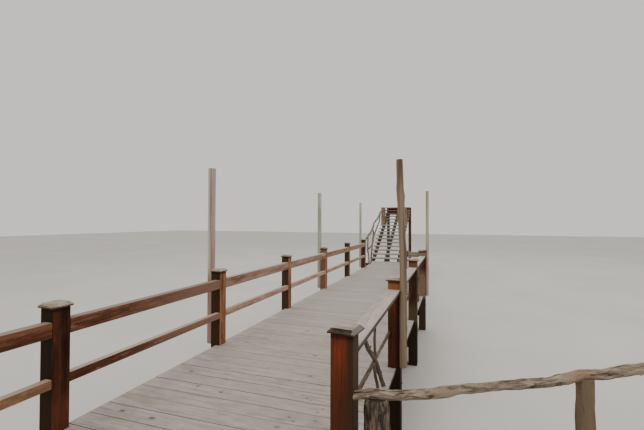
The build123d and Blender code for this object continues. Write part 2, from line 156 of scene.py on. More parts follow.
class Finish:
    """One finish: its material and the ways to add nodes to it."""

    def __init__(self, name, along=None):
        self.material = bpy.data.materials.new(name)
        self.material.use_nodes = True
        self.tree = self.material.node_tree
        self.shader = self.tree.nodes["Principled BSDF"]
        self.shader.inputs["Specular IOR Level"].default_value = GLOSS
        self.along = along

    def node(self, kind, settings=None, sockets=None, out=0):
        made = self.tree.nodes.new(kind)
        for key, value in (settings or {}).items():
            if key == "stops":
                self.set_stops(made.color_ramp, value)
            else:
                setattr(made, key, value)
        for key, value in (sockets or {}).items():
            self.feed(made.inputs[key], value)
        return Wire(self, made.outputs[out])

    def feed(self, socket, value):
        if isinstance(value, Wire):
            self.tree.links.new(value.socket, socket)
        else:
            socket.default_value = value

    def set_stops(self, ramp, stops):
        while len(ramp.elements) < len(stops):
            ramp.elements.new(.5)
        for element, (place, colour) in zip(ramp.elements, stops):
            element.position = place
            element.color = paint(*colour)

    def vector(self, name):
        return self.node("ShaderNodeAttribute", {"attribute_name": name}, out="Vector")

    def value(self, name):
        return self.node("ShaderNodeAttribute", {"attribute_name": name}, out="Fac")

    def spot(self):
        """A point's own place on the object, in metres."""
        return self.node("ShaderNodeTexCoord", out="Object")

    def split(self, vector):
        made = self.node("ShaderNodeSeparateXYZ", None, {0: vector})
        return [Wire(self, out) for out in made.socket.node.outputs]

    def grain(self):
        """Coordinates with x along the fibres: the timber's own, or the object's turned."""
        if self.along is None:
            return self.vector("grain")
        turn = {"X": (0, 0, 0), "Y": (0, 0, -math.pi / 2), "Z": (0, math.pi / 2, 0)}
        return self.node("ShaderNodeMapping", None,
                         {"Vector": self.spot(), "Rotation": turn[self.along]})

    def place(self):
        """How far out a point is on its timber, from -1 to 1 along, across and up."""
        return self.split(self.vector("place"))

    def scaled(self, vector, stretch):
        return self.node("ShaderNodeVectorMath", {"operation": "MULTIPLY"},
                         {0: vector, 1: stretch})

    def noise(self, vector, stretch, detail=3, rough=.55, bend=0):
        return self.node("ShaderNodeTexNoise", None, {
            "Vector": self.scaled(vector, stretch), "Scale": 1, "Detail": detail,
            "Roughness": rough, "Distortion": bend})

    def between(self, value, low, high, start=0, end=1):
        """The value eased from start at low to end at high."""
        return self.node("ShaderNodeMapRange", {"interpolation_type": "SMOOTHSTEP"},
                         {0: value, 1: low, 2: high, 3: start, 4: end})

    def ramp(self, value, *stops):
        return self.node("ShaderNodeValToRGB", {"stops": stops}, {0: value})

    def mix(self, share, first, second, blend="MIX"):
        """Two colours mixed, each a wire or as the eye names it."""
        first, second = (c if isinstance(c, Wire) else paint(*c) for c in (first, second))
        return self.node("ShaderNodeMix", {"data_type": "RGBA", "blend_type": blend},
                         {0: share, 6: first, 7: second}, out=2)

    def shade(self, colour, value):
        """The colour made darker or lighter by a value round 1."""
        grey = self.node("ShaderNodeCombineColor", None, {0: value, 1: value, 2: value})
        return self.mix(1, colour, grey, "MULTIPLY")

    def fibred(self, colour, fibre, depth=.8):
        """The colour made uneven by its fibres, by as much as the depth."""
        return self.shade(colour, 1 - depth / 2 + fibre * depth)

    def knots(self, grain, often, share):
        """Round knots in some cells, 1 at the heart and 0 outside."""
        cell = self.node("ShaderNodeTexVoronoi", None,
                         {"Vector": self.scaled(grain, often), "Scale": 1})
        kind = self.node("ShaderNodeSeparateColor", None,
                         {0: Wire(self, cell.socket.node.outputs["Color"])})
        return self.between(cell, .03, .17, 1, 0) * self.between(kind, share, share + .04)

    def marks(self, spot, places):
        """Knots at the given places on the boards, each wider along the board: 1 at the
        heart and 0 outside."""
        found = 0
        ripple = self.node("ShaderNodeTexNoise", None,
                           {"Vector": spot, "Scale": MARK_RIPPLE}, out="Color")
        sway = self.scaled(ripple, (MARK_SWAY, MARK_SWAY, 0))
        flat = self.node("ShaderNodeVectorMath", None,
                         {0: self.scaled(spot, (1 / MARK_STRETCH, 1, 0)), 1: sway})
        for x, y, radius in places:
            heart = ((inner_left + x) / MARK_STRETCH + MARK_SWAY / 2,
                     plan_y + y + MARK_SWAY / 2, 0)
            apart = self.node("ShaderNodeVectorMath", {"operation": "DISTANCE"},
                              {0: flat, 1: heart}, out="Value")
            found = self.between(apart, 0, radius * MARK_EDGE, 1, 0) + found
        return found

    def done(self, colour, rough, height, depth):
        bump = self.node("ShaderNodeBump", None,
                         {"Strength": 1, "Distance": depth, "Height": height})
        if self.along is None:
            colour = self.shade(colour, 1 + self.value("tone"))
        self.feed(self.shader.inputs["Base Color"], colour)
        self.feed(self.shader.inputs["Roughness"], rough)
        self.feed(self.shader.inputs["Normal"], bump)
        return self.material


def stain(name, deep, main, bright, worn, scuff):
    """Worn stain on squared timber, with dark streaks, checks and pale rims, partly wear and
    partly a painted highlight where the corners catch the light.
    """
    f = Finish(name)
    f.shader.inputs["Specular IOR Level"].default_value = STAIN_GLOSS
    grain = f.grain()
    _, across, up = f.place()
    fibre = f.noise(grain, (2.4, 120, 120), 5, .7)
    flame = f.noise(grain, (.7, 9, 9), 4, .55, 1.1)
    band = f.noise(grain, (.35, 26, 26), 3, .6)
    blotch = f.noise(grain, (5, 16, 16), 4, .6)
    checks = f.between(f.noise(grain, (1.6, 75, 75), 3, .6), .67, .73)
    mixed = flame * .4 + band * .28 + blotch * .32
    colour = f.ramp(mixed, (.4, deep), (.5, main), (.6, bright))
    colour = f.fibred(colour, fibre)
    patch = f.noise(grain, (7, 34, 34), 4, .65)
    colour = f.mix(f.between(patch, .56, .7) * scuff, colour, worn)
    pale = f.fibred(worn, fibre, .44)
    # Pale long corners: partly wear, partly a painted highlight where the corners catch the light
    worn_and_lit_rim = f.between(across * across, .84, 1) * f.between(up * up, .84, 1)
    colour = f.mix(worn_and_lit_rim * f.between(f.noise(grain, (7, 7, 7)), .42, .6) * .6, colour, pale)
    colour = f.mix(checks * .62, colour, (22, 13, 9))
    height = fibre * .5 - checks * 1.6 + band * .4
    return f, colour, fibre, height


def rail_stain(name, deep, main, bright, worn, scuff, top=None, far=None, pink=0):
    """Stain that has gone from the top of a rail, and may fade along it or leave pink
    patches."""
    f, colour, fibre, height = stain(name, deep, main, bright, worn, scuff)
    along, _, up = f.place()
    streak = f.noise(f.grain(), (3, 24, 24), 4, .6)
    if pink:
        patch = f.noise(f.grain(), (4.2, 16, 16), 3, .6)
        colour = f.mix(f.between(patch, .5, .62) * pink, colour, f.fibred(PINK, fibre))
    if far:
        share = f.between(along + streak, -.3, 1.1) * .8
        colour = f.mix(share, colour, f.fibred(far, fibre))
    bared = f.between(streak, .26, .5, .7, 1)
    pale = f.fibred(top or worn, fibre, .44)
    colour = f.mix(f.between(up, .95, .985) * bared, colour, pale)
    return f.done(colour, .55 + fibre * .3, height, WOOD_RELIEF)


def shade_post_ends(f, colour, fibre, along, under_deck_shade):
    """A post's colour darkened below the deck as painted shade, with a band of painted shade under
    its cap, and the share of the darkening below the deck."""
    # Painted shade on the post below the deck, and a band of painted shade under its cap
    foot = f.between(along, FOOT_AT, FOOT_AT - .12)
    ledge = f.between(along, .955, .978) * .62
    colour = f.mix(foot * .8, colour, f.fibred(under_deck_shade, fibre, 1))
    return f.mix(ledge, colour, UNDER_CAP_SHADE), foot


def post_stain(name, deep, main, bright, worn, scuff, side=None, low=None, lit_crown=None):
    """Stain on a post. Towards one side it may darken, as painted shade; further down it may
    change; above the rail it may be painted lighter, as lit there: side and low hold a colour and
    from where to where, and low how much of it."""
    f, colour, fibre, height = stain(name, deep, main, bright, worn, scuff)
    along, _, up = f.place()
    drift = f.noise(f.grain(), (.8, 12, 12), 3) * .5 - .25
    if low:
        share = f.between(along + drift * .5, *low[1]) * low[2]
        colour = f.mix(share, colour, f.fibred(low[0], fibre))
    # Painted shade towards one side of the post
    if side:
        colour = f.mix(f.between(up + drift, *side[1]), colour, f.fibred(side[0], fibre))
    # Painted light on the post above its rail
    if lit_crown:
        colour = f.mix(f.between(along, *ABOVE_RAIL), colour, f.fibred(lit_crown, fibre))
    colour, foot = shade_post_ends(f, colour, fibre, along, (42, 32, 23))
    return f.done(colour, .5 + fibre * .3 + foot * .1, height, WOOD_RELIEF)


def left_post(name, deep, main, bright, worn, near, share, warm=None):
    """A left post: its near side darkened as painted shade, and perhaps a warmer stretch below its
    rails.
    """
    f, colour, fibre, height = stain(name, deep, main, bright, worn, .2)
    along, across, _ = f.place()
    if warm:
        stretch = f.between(along, .35, .05) * f.between(along, FOOT_AT - .1, FOOT_AT)
        colour = f.mix(stretch * .5, colour, f.fibred(warm, fibre))
    # Painted shade on the near side
    side = f.between(across, -.97, -.99) * share
    colour = f.mix(side, colour, f.fibred(near, fibre, 1))
    colour = shade_post_ends(f, colour, fibre, along, (31, 21, 11))[0]
    return f.done(colour, .5 + fibre * .3, height, WOOD_RELIEF)


GREY_TOPS = ((154, 142, 128), (188, 177, 164))
WARM_TOPS = ((156, 147, 131), (190, 179, 163))


def cap_wood(name, dark, main, light, greyed, top=GREY_TOPS, bright_side=0, near_shade=0):
    """Caps: greyed tops over bevels, with a dark line along the lower edge. The right bevel may be
    brighter, and the near one a darker brown as painted shade."""
    f = Finish(name)
    grain = f.grain()
    along, across, up = f.place()
    fibre = f.noise(grain, (3, 110, 110), 5, .7)
    patch = f.noise(grain, (6, 14, 14), 4, .6)
    sides = f.ramp(patch, (.4, dark), (.5, main), (.6, light))
    tops = f.ramp(patch, (.4, top[0]), (.6, top[1]))
    checks = f.between(f.noise(grain, (2, 60, 60)), .64, .7)
    sides = f.mix(f.between(up, -.3, -.1) * greyed, sides, tops)
    sides = f.mix(f.between(along, .72, .78) * bright_side, sides, (150, 145, 135))
    # Painted shade on the near bevel
    sides = f.mix(f.between(across, -.74, -.8) * near_shade, sides, (98, 76, 60))
    colour = f.mix(f.between(up, -.25, -.6) * .75, sides, (48, 32, 25))
    colour = f.fibred(f.mix(f.between(up, .9, .98), colour, tops), fibre, .56)
    colour = f.mix(checks * .7, colour, (40, 32, 26))
    return f.done(colour, .62 + fibre * .3, fibre * .6 - checks * 1.4, .0018)


def grey_wood(f, grain):
    """Pale grey wood with soft streaks, and warmer, darker and pinker patches."""
    fibre = f.noise(grain, (3.4, 150, 60), 5, .7)
    streak = f.noise(grain, (1.6, 30, 12), 5, .65, .4)
    mottle = f.noise(grain, (7, 15, 12), 4, .6)
    patch = f.noise(grain, (1, 2.6, 2.4), 4, .6)
    hair = f.between(f.noise(grain, (2.4, 110, 40), 4, .65), .56, .66)
    soft = f.between(f.noise(grain, (3.2, 26, 12), 3, .5), .55, .68)
    pink = f.between(f.noise(grain, (.5, 2, 2), 2), .46, .62)
    colour = f.ramp(streak * .6 + mottle * .4, (.38, (154, 144, 135)),
                    (.5, (173, 163, 156)), (.62, (186, 178, 172)))
    colour = f.mix(f.between(patch, .48, .68) * .38, colour, (157, 145, 129))
    colour = f.mix(soft * .28, colour, (138, 128, 120))
    colour = f.mix(hair * .36, colour, (126, 114, 104))
    colour = f.mix(pink * .4, colour, (178, 162, 160))
    return f.fibred(colour, fibre, .32), fibre, streak


def grey_boards(name, shade_from, side_shade, shade_share, marks=()):
    """Weathered boards: knots, checks, sides darkened as painted shade, paler further off."""
    f = Finish(name)
    grain = f.grain()
    spot = f.spot()
    _, across, up = f.place()
    colour, fibre, streak = grey_wood(f, grain)
    knot = f.knots(grain, (3.4, 5.4, 5.4), .7)
    colour = f.mix(knot * .7, colour, (92, 76, 62))
    checks = f.between(f.noise(grain, (2.2, 62, 20), 3, .6), .68, .74)
    colour = f.mix(checks * .6, colour, (86, 76, 68))
    edge = f.between(across * across, .9, 1) * .3
    colour = f.mix(edge, colour, (104, 92, 82))
    if marks:
        mark = f.marks(spot, marks)
        colour = f.mix(f.between(mark, .1, .6) * .4, colour, (112, 98, 84))
        colour = f.mix(f.between(mark, .6, .85) * .6, colour, (66, 54, 46))
    away = f.between(f.split(spot)[1], FAR_FROM, FAR_FROM + FAR_REACH)
    colour = f.mix(away * .45, colour, (188, 186, 184))
    # Painted shade on the boards' sides
    colour = f.mix(f.between(up, *shade_from) * shade_share, colour, side_shade)
    height = fibre * .6 + streak * .3 - checks * 1.6 - knot * .5
    return f.done(colour, .74 + fibre * .2, height, .0014)


def bare_pole(name, dark, main, light, red_share, foot=None):
    """Bare poles: straight grain, long dark checks and silvery streaks. The foot may be
    another colour, from a place to another, and so much of it."""
    f = Finish(name)
    grain = f.grain()
    fibre = f.noise(grain, (2, 130, 130), 5, .7)
    streak = f.noise(grain, (.5, 24, 24), 4, .6)
    colour = f.ramp(streak, (.36, dark), (.5, main), (.62, light))
    red = f.between(f.noise(grain, (.8, 6, 6), 2), .48, .64)
    colour = f.mix(red * red_share, colour, (140, 108, 96))
    if foot:
        colour = f.mix(f.between(f.place()[0], *foot[1]) * foot[2], colour, foot[0])
    checks = f.between(f.noise(grain, (.8, 48, 48)), .63, .7)
    colour = f.mix(checks * .8, f.fibred(colour, fibre, .6), (60, 48, 40))
    return f.done(colour, .6 + fibre * .3, fibre * .6 - checks * 1.5, WOOD_RELIEF)


def bark(name, dark, main, light, peeled, sawn, bare_from, long=5, fine=48, rusty=0):
    """Natural sticks: furrowed bark, peeled stretches and sawn ends, and perhaps a rusty
    patch half way along."""
    f = Finish(name)
    grain = f.grain()
    furrow = f.noise(grain, (long, fine, fine), 5, .65, .8)
    flakes = f.noise(grain, (22, 50, 50), 3, .6)
    bare = f.between(f.noise(grain, (3, 11, 11), 4, .6), bare_from, bare_from + .1)
    colour = f.ramp(furrow, (.36, dark), (.5, main), (.64, light))
    smooth = f.fibred(peeled, f.noise(grain, (2, 90, 90), 4, .7), .4)
    colour = f.mix(bare * .8, colour, smooth)
    colour = f.mix(f.between(flakes, .6, .7) * .4, colour, dark)
    if rusty:
        along = f.place()[0]
        patch = f.between(f.noise(grain, (9, 22, 22), 4, .65), .43, .56)
        patch = patch * f.between(along, .465, .49) * f.between(along, .55, .52)
        colour = f.mix(patch * rusty, colour, f.fibred((158, 116, 92), furrow))
    split = f.between(f.noise(grain, (1.2, 42, 42), 3, .6), .64, .69)
    colour = f.mix(split * .7, colour, f.shade(dark, .6))
    rings = f.noise(grain, (1, 190, 190), 3, .6)
    colour = f.mix(f.between(f.value("cut"), .4, .6), colour, f.fibred(sawn, rings, .6))
    height = furrow * (1 - bare * .7) + flakes * .3 - split
    return f.done(colour, .9 - bare * .15, height, .0025)


def framing(name, along, dark, main, light):
    """Plain framing with its grain along the given way."""
    f = Finish(name, along)
    grain = f.grain()
    fibre = f.noise(grain, (2, 120, 120), 5, .7)
    patch = f.noise(grain, (.9, 8, 8), 4, .6)
    colour = f.ramp(patch, (.38, dark), (.5, main), (.64, light))
    checks = f.between(f.noise(grain, (1.2, 60, 60)), .64, .7)
    colour = f.mix(checks * .7, f.fibred(colour, fibre, .6), f.shade(dark, .5))
    return f.done(colour, .68 + fibre * .3, fibre * .6 - checks * 1.5, .002)


# Dark framing for the beams, joists and piers
def dark_framing(name, along):
    return framing(name, along, (52, 38, 28), (84, 62, 47), (112, 86, 68))


def dull_steel(name, zinc, rusty):
    """Old zinc with rust coming through."""
    f = Finish(name, along="X")
    rust = f.between(f.noise(f.grain(), (90, 90, 90), 4, .6), .4, .6)
    f.feed(f.shader.inputs["Metallic"], .7 - rust * .65)
    colour = f.mix(rust, zinc, rusty)
    return f.done(colour, .5 + rust * .35, rust, .0004)


def pale_floor():
    f = Finish("pale_floor", along="X")
    cloud = f.noise(f.grain(), (.4, .4, .4), 2)
    colour = f.ramp(cloud, (.3, (206, 204, 200)), (.7, (214, 212, 208)))
    return f.done(colour, .88 + cloud * .08, cloud, .001)


SHADED_POST = left_post("shaded_post", (31, 18, 11), (52, 30, 20), (80, 45, 30), (122, 92, 74),
                        near=(38, 23, 12), share=.9, warm=(112, 64, 44))
OLIVE_POST = left_post("olive_post", (92, 62, 44), (140, 98, 70), (168, 124, 92), (172, 144, 120),
                       near=(54, 34, 20), share=.95)
SANDY = ((98, 68, 50), (150, 110, 84), (176, 140, 112), (178, 154, 134))
WASHED_POST = left_post("washed_post", *SANDY, near=(62, 44, 33), share=.93)
PALE_POST = left_post("pale_post", *SANDY, near=(112, 86, 66), share=.9)
LEFT_FINISHES = (SHADED_POST, SHADED_POST, OLIVE_POST, WASHED_POST, PALE_POST, WASHED_POST,
                 WASHED_POST)
RED_POST = post_stain("red_post", (80, 41, 28), (119, 54, 35), (144, 62, 42), (122, 92, 74),
                      scuff=.2, side=((66, 47, 33), (.15, -.75)),
                      low=((60, 42, 30), (.95, .5), .75))
RUSSET_POST = post_stain("russet_post", (64, 34, 22), (101, 52, 34), (128, 70, 48), (126, 88, 64),
                         scuff=.15, side=((46, 30, 20), (-.05, -.75)),
                         low=((64, 36, 24), (.75, .45), .7), lit_crown=(146, 98, 64))
UMBER_POST = post_stain("umber_post", (38, 24, 16), (56, 35, 23), (76, 50, 34), (104, 84, 64),
                        scuff=.2, low=((84, 72, 54), (.3, 0), .8), lit_crown=(116, 82, 58))
ROSY_POST = post_stain("rosy_post", (62, 33, 29), (84, 46, 40), (106, 64, 55), (128, 100, 86),
                       scuff=.2, low=((136, 112, 96), (.6, .3), .8), lit_crown=(132, 112, 100))
SLANT_POST = post_stain("slant_post", (58, 34, 24), (90, 54, 38), (116, 76, 54), (138, 110, 92),
                        scuff=.25)
NEAR_RAIL = rail_stain("near_rail", (66, 37, 27), (98, 59, 43), (130, 88, 68), (146, 118, 98),
                       scuff=.6, top=(158, 140, 128))
RAIL_STAIN = rail_stain("rail_stain", (66, 38, 28), (100, 61, 46), (136, 94, 74), (150, 126, 112),
                        scuff=.6, top=(150, 130, 120), far=(142, 112, 94))
LOW_STAIN = rail_stain("low_rail_stain", (56, 31, 22), (86, 51, 38), (118, 80, 62),
                       (150, 126, 112), scuff=.5, top=(182, 162, 148), far=(142, 112, 94))
WASHED_RAIL = rail_stain("washed_rail", (114, 84, 69), (155, 128, 112), (181, 155, 140),
                         (186, 170, 154), scuff=.6, top=(190, 178, 164), pink=.48)
WASHED_LOW = rail_stain("washed_low_rail", (140, 108, 90), (176, 150, 131), (196, 172, 154),
                        (200, 184, 168), scuff=.6, top=(186, 172, 158), pink=.7)
BLEACHED = rail_stain("bleached_rail", (112, 82, 62), (150, 112, 86), (172, 136, 108),
                      (172, 156, 138), scuff=.7)
NEWELS = rail_stain("newel_wood", (96, 78, 66), (136, 114, 98), (160, 138, 122), (166, 150, 134),
                    scuff=.6)
RED_TREADS = rail_stain("red_treads", (92, 66, 56), (136, 102, 88), (160, 124, 108),
                        (150, 126, 112), scuff=.6)
GREEN_RAIL = rail_stain("green_rail", (112, 100, 84), (140, 128, 110), (160, 150, 134),
                        (172, 160, 144), scuff=.7)
CAPS = cap_wood("pink_caps", (96, 66, 54), (136, 102, 88), (160, 130, 114), greyed=.6)
WASHED_CAPS = cap_wood("washed_caps", (130, 108, 92), (162, 142, 126), (182, 166, 150), greyed=.85,
                       top=WARM_TOPS, near_shade=.3)
FIRST_CAP = cap_wood("olive_cap", (38, 31, 22), (56, 48, 36), (92, 83, 69), greyed=0,
                     bright_side=.62)
BOARDS = grey_boards("grey_boards", shade_from=(-.045, -.16), side_shade=(52, 42, 34), shade_share=.85,
                     marks=DECK_MARKS)
TREADS = grey_boards("grey_treads", shade_from=(-.12, -.5), side_shade=(84, 70, 58), shade_share=.7)
RAIL_BOARDS = grey_boards("grey_rail_boards", shade_from=(.9, .55), side_shade=(58, 50, 42),
                          shade_share=.88)
POLES = bare_pole("grey_poles", (144, 126, 114), (184, 168, 157), (202, 190, 181), red_share=.3,
                  foot=((146, 118, 100), (-.1, -.35), .8))
GREEN_POLES = bare_pole("green_poles", (134, 144, 130), (172, 184, 168), (192, 202, 188),
                        red_share=.12, foot=((172, 150, 136), (-.2, -.5), .7))
PALE_POLE = bare_pole("pale_pole", (136, 132, 110), (174, 170, 146), (194, 192, 168),
                      red_share=.15, foot=((184, 158, 146), (.5, .3), .85))
TAN_POLES = bare_pole("tan_poles", (74, 61, 49), (112, 96, 79), (147, 129, 108), red_share=.42)
TWIGS = bark("twig_bark", (50, 41, 33), (84, 73, 61), (115, 104, 88), (106, 92, 77),
             (178, 164, 142), bare_from=.48)
LOGS = bark("log_bark", (62, 53, 45), (116, 103, 92), (152, 139, 126), (146, 130, 114),
            (168, 153, 136), bare_from=.48)
RAIL_LOG = bark("rail_log_bark", (58, 47, 38), (128, 114, 98), (172, 159, 141), (158, 138, 119),
                (166, 152, 134), bare_from=.5, long=10, fine=52, rusty=.55)
STUMP = bark("stump_bark", (36, 30, 25), (76, 66, 57), (128, 114, 97), (118, 102, 86),
             (56, 47, 40), bare_from=.58, long=9, fine=34)
POST_LOGS = bark("entry_post_bark", (62, 52, 40), (98, 84, 66), (122, 107, 87), (120, 104, 82),
                 (118, 104, 86), bare_from=.4, fine=40)
STEEL = dull_steel("dull_steel", (92, 88, 84), (84, 48, 32))
NAILS = dull_steel("dull_nails", (164, 156, 149), (140, 128, 118))


# Ways of making timbers, sticks and pieces
GRAIN_SHIFT = 40
SWELL_REACH = 1.6
INSET_SHARE = .12


def some_tone(low, high):
    """How much lighter a timber is than its finish, or darker where it is below 0."""
    return luck.uniform(low, high)


def grain_shift():
    """Where in the grain a timber is sawn from, so that no two look alike."""
    return Vector([luck.uniform(-GRAIN_SHIFT, GRAIN_SHIFT) for k in range(3)])


def mark_layers(bm):
    """What the finishes read at each point: grain, place, tone, and 1 on a sawn end."""
    vectors, numbers = bm.verts.layers.float_vector, bm.verts.layers.float
    return vectors.new("grain"), vectors.new("place"), numbers.new("tone"), numbers.new("cut")


def stamp(bm, tone):
    """Marks a timber that still lies along x about the origin with its own grain."""
    grain, place, shade, _ = mark_layers(bm)
    half = [max(abs(v.co[k]) for v in bm.verts) for k in range(3)]
    shift = grain_shift()
    for v in bm.verts:
        v[grain] = v.co + shift
        v[place] = Vector([v.co[k] / half[k] for k in range(3)])
        v[shade] = tone
    return bm


def bevel(bm, edges, offset, segments=2):
    bmesh.ops.bevel(bm, geom=edges, offset=offset, segments=segments, profile=.5,
                    affect="EDGES", material=-1)


def timber(length, width, height, tone, ease=.004, top_bevel=0):
    """A squared timber along x, about the origin, with eased edges."""
    bm = bmesh.new()
    bmesh.ops.create_cube(bm, size=1)
    bmesh.ops.scale(bm, vec=(length, width, height), verts=bm.verts)
    if top_bevel:
        bevel(bm, [e for e in bm.edges if all(v.co.z > 0 for v in e.verts)], top_bevel, 1)
    bevel(bm, bm.edges[:], ease)
    return stamp(bm, tone)


def empty_piece():
    bm = bmesh.new()
    mark_layers(bm)
    return bm


def add(target, part, matrix=STRAIGHT):
    """Moves a part to its place and joins it to the target."""
    bmesh.ops.transform(part, matrix=matrix, verts=part.verts)
    scrap = bpy.data.meshes.new("scrap")
    part.to_mesh(scrap)
    part.free()
    target.from_mesh(scrap)
    bpy.data.meshes.remove(scrap)
    return target


def stand(name, data):
    """Puts a new object in the scene."""
    made = bpy.data.objects.new(name, data)
    bpy.context.scene.collection.objects.link(made)
    return made


def make_mesh(bm, name, finish):
    mesh = bpy.data.meshes.new(name)
    bm.to_mesh(mesh)
    bm.free()
    mesh.materials.append(finish)
    return mesh


def show(bm, name, finish, nodes=(), round_over=0):
    """Makes the finished piece, which stands for the named nodes."""
    mesh = make_mesh(bm, name, finish)
    if round_over:
        for face in mesh.polygons:
            face.use_smooth = True
        mesh.set_sharp_from_angle(angle=math.radians(round_over))
    piece = stand(name, mesh)
    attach(piece, "root")
    if nodes:
        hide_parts(*nodes)


def show_one(part, matrix, name, finish, node, round_over=0):
    """Makes a finished piece of one timber or stick."""
    show(add(empty_piece(), part, matrix), name, finish, [node], round_over)


def smooth_line(points, step):
    """Close points on a smooth line through the given ones, each with its radius."""
    found = []
    last = len(points) - 1
    for k in range(last):
        a, b, c, d = (points[max(0, min(last, k + j))] for j in (-1, 0, 1, 2))
        count = max(2, round((c[0] - b[0]).length / step))
        for n in range(count):
            t = n / count
            spot = (b[0] * 2 + (c[0] - a[0]) * t
                    + (a[0] * 2 - b[0] * 5 + c[0] * 4 - d[0]) * t * t
                    + (b[0] * 3 - a[0] - c[0] * 3 + d[0]) * t ** 3) / 2
            found.append((spot, b[1] + (c[1] - b[1]) * t))
    return found + [points[-1]]


def bark_lump(spot, side, seed):
    """How far the bark stands out: coarse lumps, and fine ones half as high."""
    return noise.noise(spot * 14 + side * 1.4 + seed) \
        + .5 * noise.noise(spot * 40 + side * 3 + seed)


def swollen(reach, radius, gone, bearing, swells):
    """The reach with the swellings round knots added."""
    for centre, way, size in swells:
        apart = min(1, abs(gone - centre) / (radius * SWELL_REACH))
        reach += radius * size * (1 - apart * apart) ** 2 * max(0, math.cos(bearing - way))
    return reach


def rings(line):
    """Each point of a line: its radius, two ways square to the line, and how far on it is."""
    across, gone = None, 0
    for k, (spot, radius) in enumerate(line):
        way = (line[min(k + 1, len(line) - 1)][0] - line[max(k - 1, 0)][0]).normalized()
        if across is None:
            across = way.orthogonal()
        across = (across - way * across.dot(way)).normalized()
        if k:
            gone += (spot - line[k - 1][0]).length
        yield k, spot, radius, across, way.cross(across), gone


def next_ring(bm, face, first):
    """Draws the end face out into the stick's next length."""
    made = bmesh.ops.extrude_face_region(bm, geom=[face])["geom"]
    drawn = [g for g in made if isinstance(g, bmesh.types.BMFace)][0]
    if not first:
        bmesh.ops.delete(bm, geom=[face], context="FACES_ONLY")
    return drawn


def saw_ends(bm, sides, thickness, cut):
    """Insets the two end faces and marks them as sawn."""
    ends = [f for f in bm.faces if len(f.verts) == sides]
    bmesh.ops.inset_individual(bm, faces=ends, thickness=thickness)
    for f in ends:
        for v in f.verts:
            v[cut] = 1


def add_stubs(bm, line, count, rough, tone):
    """Sawn-off side shoots."""
    for k in range(count):
        spot, radius = line[round(len(line) * luck.uniform(.12, .88))]
        way = Vector([luck.uniform(-1, 1) for j in range(3)]).normalized()
        tip = spot + way * radius * luck.uniform(1.4, 2)
        add(bm, stick([(spot, radius * .42), (tip, radius * .3)], .02, 8, rough, tone, 0))


def stick(points, step, sides=12, rough=.1, tone=0, bulges=3, stubs=0, swell=.3):
    """A natural stick: a ring drawn out along a smooth line, with knots and sawn ends."""
    line = smooth_line([(Vector(spot), radius) for spot, radius in points], step)
    bm = bmesh.new()
    grain, place, shade, cut = mark_layers(bm)
    turn = bm.verts.layers.float.new("turn")
    bmesh.ops.create_circle(bm, cap_ends=True, segments=sides, radius=1)
    for v in bm.verts:
        v[turn] = math.atan2(v.co.y, v.co.x)
        v[shade] = tone
    seed = Vector([luck.uniform(0, 90) for k in range(3)])
    shift = grain_shift()
    whole = sum((b[0] - a[0]).length for a, b in zip(line[:-1], line[1:]))
    swells = [(whole * luck.uniform(.08, .92), luck.uniform(-math.pi, math.pi),
               luck.uniform(.4, 1) * swell) for k in range(bulges)]
    bm.faces.ensure_lookup_table()
    face = bm.faces[0]
    for k, spot, radius, across, other, gone in rings(line):
        if k:
            face = next_ring(bm, face, k == 1)
        for v in face.verts:
            side = across * math.cos(v[turn]) + other * math.sin(v[turn])
            reach = radius * (.95 + rough * bark_lump(spot, side, seed))
            v.co = spot + side * swollen(reach, radius, gone, v[turn], swells)
            round_it = Vector((0, math.cos(v[turn]), math.sin(v[turn])))
            v[grain] = round_it * radius + Vector((gone, 0, 0)) + shift
            v[place] = round_it + Vector((gone / whole, 0, 0))
    saw_ends(bm, sides, line[0][1] * INSET_SHARE, cut)
    bmesh.ops.recalc_face_normals(bm, faces=bm.faces)
    bm.verts.layers.float.remove(turn)
    add_stubs(bm, line, stubs, rough, tone)
    return bm


def round_head(radius, height, sides=6):
    """A small bolt or nail head standing on the plane z = 0."""
    bm = bmesh.new()
    bmesh.ops.create_cone(bm, cap_ends=True, segments=sides, radius1=radius,
                          radius2=radius * .86, depth=height)
    bmesh.ops.translate(bm, vec=(0, 0, height / 2), verts=bm.verts)
    return bm


# Posts stand on the ground and pass the deck
def stand_post(node, finish, tone, turn=STRAIGHT):
    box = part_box(node)
    body = timber(box[1].z - box[0].z, post_width, post_width, tone, ease=.006)
    show_one(body, at(middle(box), turn @ UPRIGHT), node + "_timber", finish,
             node)


for n, finish in enumerate(LEFT_FINISHES, 1):
    stand_post("post_left_%d" % n, finish, some_tone(-.1, .1))
for n, finish in enumerate((RED_POST, RUSSET_POST, UMBER_POST, ROSY_POST), 1):
    stand_post("post_right_%d" % n, finish, some_tone(-.08, .08))
    stand_post("post_narrow_%d" % n, SLANT_POST, some_tone(-.1, .12), slant)


# Caps: bevelled blocks, sawn back where a light pole passes
CAP_BEVEL, CAP_EASE = .023, .0015
SMALL_CAP, LARGE_CAP = .168, .184
FIRST_CAP_SIZE, FIRST_CAP_THICK = .178, .031
FIRST_CAP_SHIFT = Vector((.005, .010, 0))
FIRST_CAP_TURN = Matrix.Rotation(math.radians(-6.5), 4, "Z")


def saw_side(cap, saw_x, centre_x):
    """Saws a cap off at a pole's face and closes the cut."""
    out = Vector((1 if saw_x > centre_x else -1, 0, 0))
    made = bmesh.ops.bisect_plane(
        cap, geom=cap.verts[:] + cap.edges[:] + cap.faces[:],
        plane_co=(saw_x, 0, 0), plane_no=out, clear_outer=True)["geom_cut"]
    worn_and_lit_rim = [g for g in made if isinstance(g, bmesh.types.BMEdge)]
    bmesh.ops.holes_fill(cap, edges=worn_and_lit_rim)


